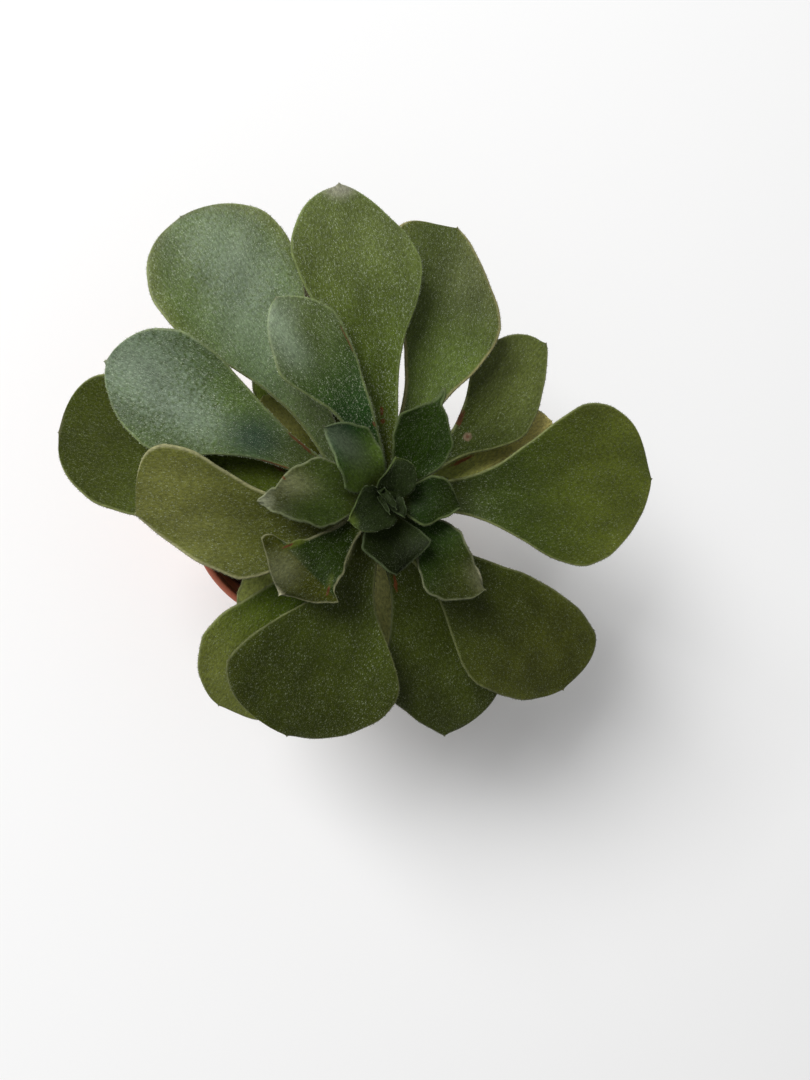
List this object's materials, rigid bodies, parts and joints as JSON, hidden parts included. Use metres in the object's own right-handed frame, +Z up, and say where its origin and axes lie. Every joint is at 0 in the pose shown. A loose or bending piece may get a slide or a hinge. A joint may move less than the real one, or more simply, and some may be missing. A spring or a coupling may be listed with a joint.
{
  "type": "potted succulent",
  "caption": "Young aeonium: an open, lopsided rosette of downy spoon-shaped leaves on a short leaning stem, standing in soil in a small tapered terracotta-coloured plastic nursery pot.",
  "frame": {"origin": "centre of the pot's underside, on the surface that the pot stands on", "axes": "+Z up, out of the pot. +X is the right side and +Y the upper side of the view from above, so the rosette leans from the pot's centre towards +X and reaches furthest that way"},
  "size_m": [0.1901, 0.1753, 0.1302],
  "materials": {
    "pot_plastic": "terracotta-coloured injection-moulded plastic, slightly glossy lip",
    "potting_soil": null,
    "stem_bark": "young bark, scarred where leaves fell",
    "young_leaf": null,
    "grown_leaf": null,
    "old_leaf": null
  },
  "bodies": {
    "root": {"pot": "pot_plastic", "soil": "potting_soil", "stem": "stem_bark", "heart": "young_leaf", "leaf_01": "young_leaf", "leaf_02": "young_leaf", "leaf_03": "young_leaf", "leaf_04": "young_leaf", "leaf_05": "young_leaf", "leaf_06": "young_leaf", "leaf_07": "young_leaf", "leaf_08": "grown_leaf", "leaf_09": "grown_leaf", "leaf_10": "grown_leaf", "leaf_11": "grown_leaf", "leaf_12": "grown_leaf", "leaf_13": "grown_leaf", "leaf_14": "grown_leaf", "leaf_15": "grown_leaf", "leaf_16": "grown_leaf", "leaf_17": "grown_leaf", "leaf_18": "grown_leaf", "leaf_19": "grown_leaf", "leaf_20": "grown_leaf", "leaf_21": "old_leaf", "leaf_22": "old_leaf", "leaf_23": "old_leaf", "leaf_24": "old_leaf", "leaf_25": "old_leaf", "leaf_26": "old_leaf"}
  },
  "joints": []
}
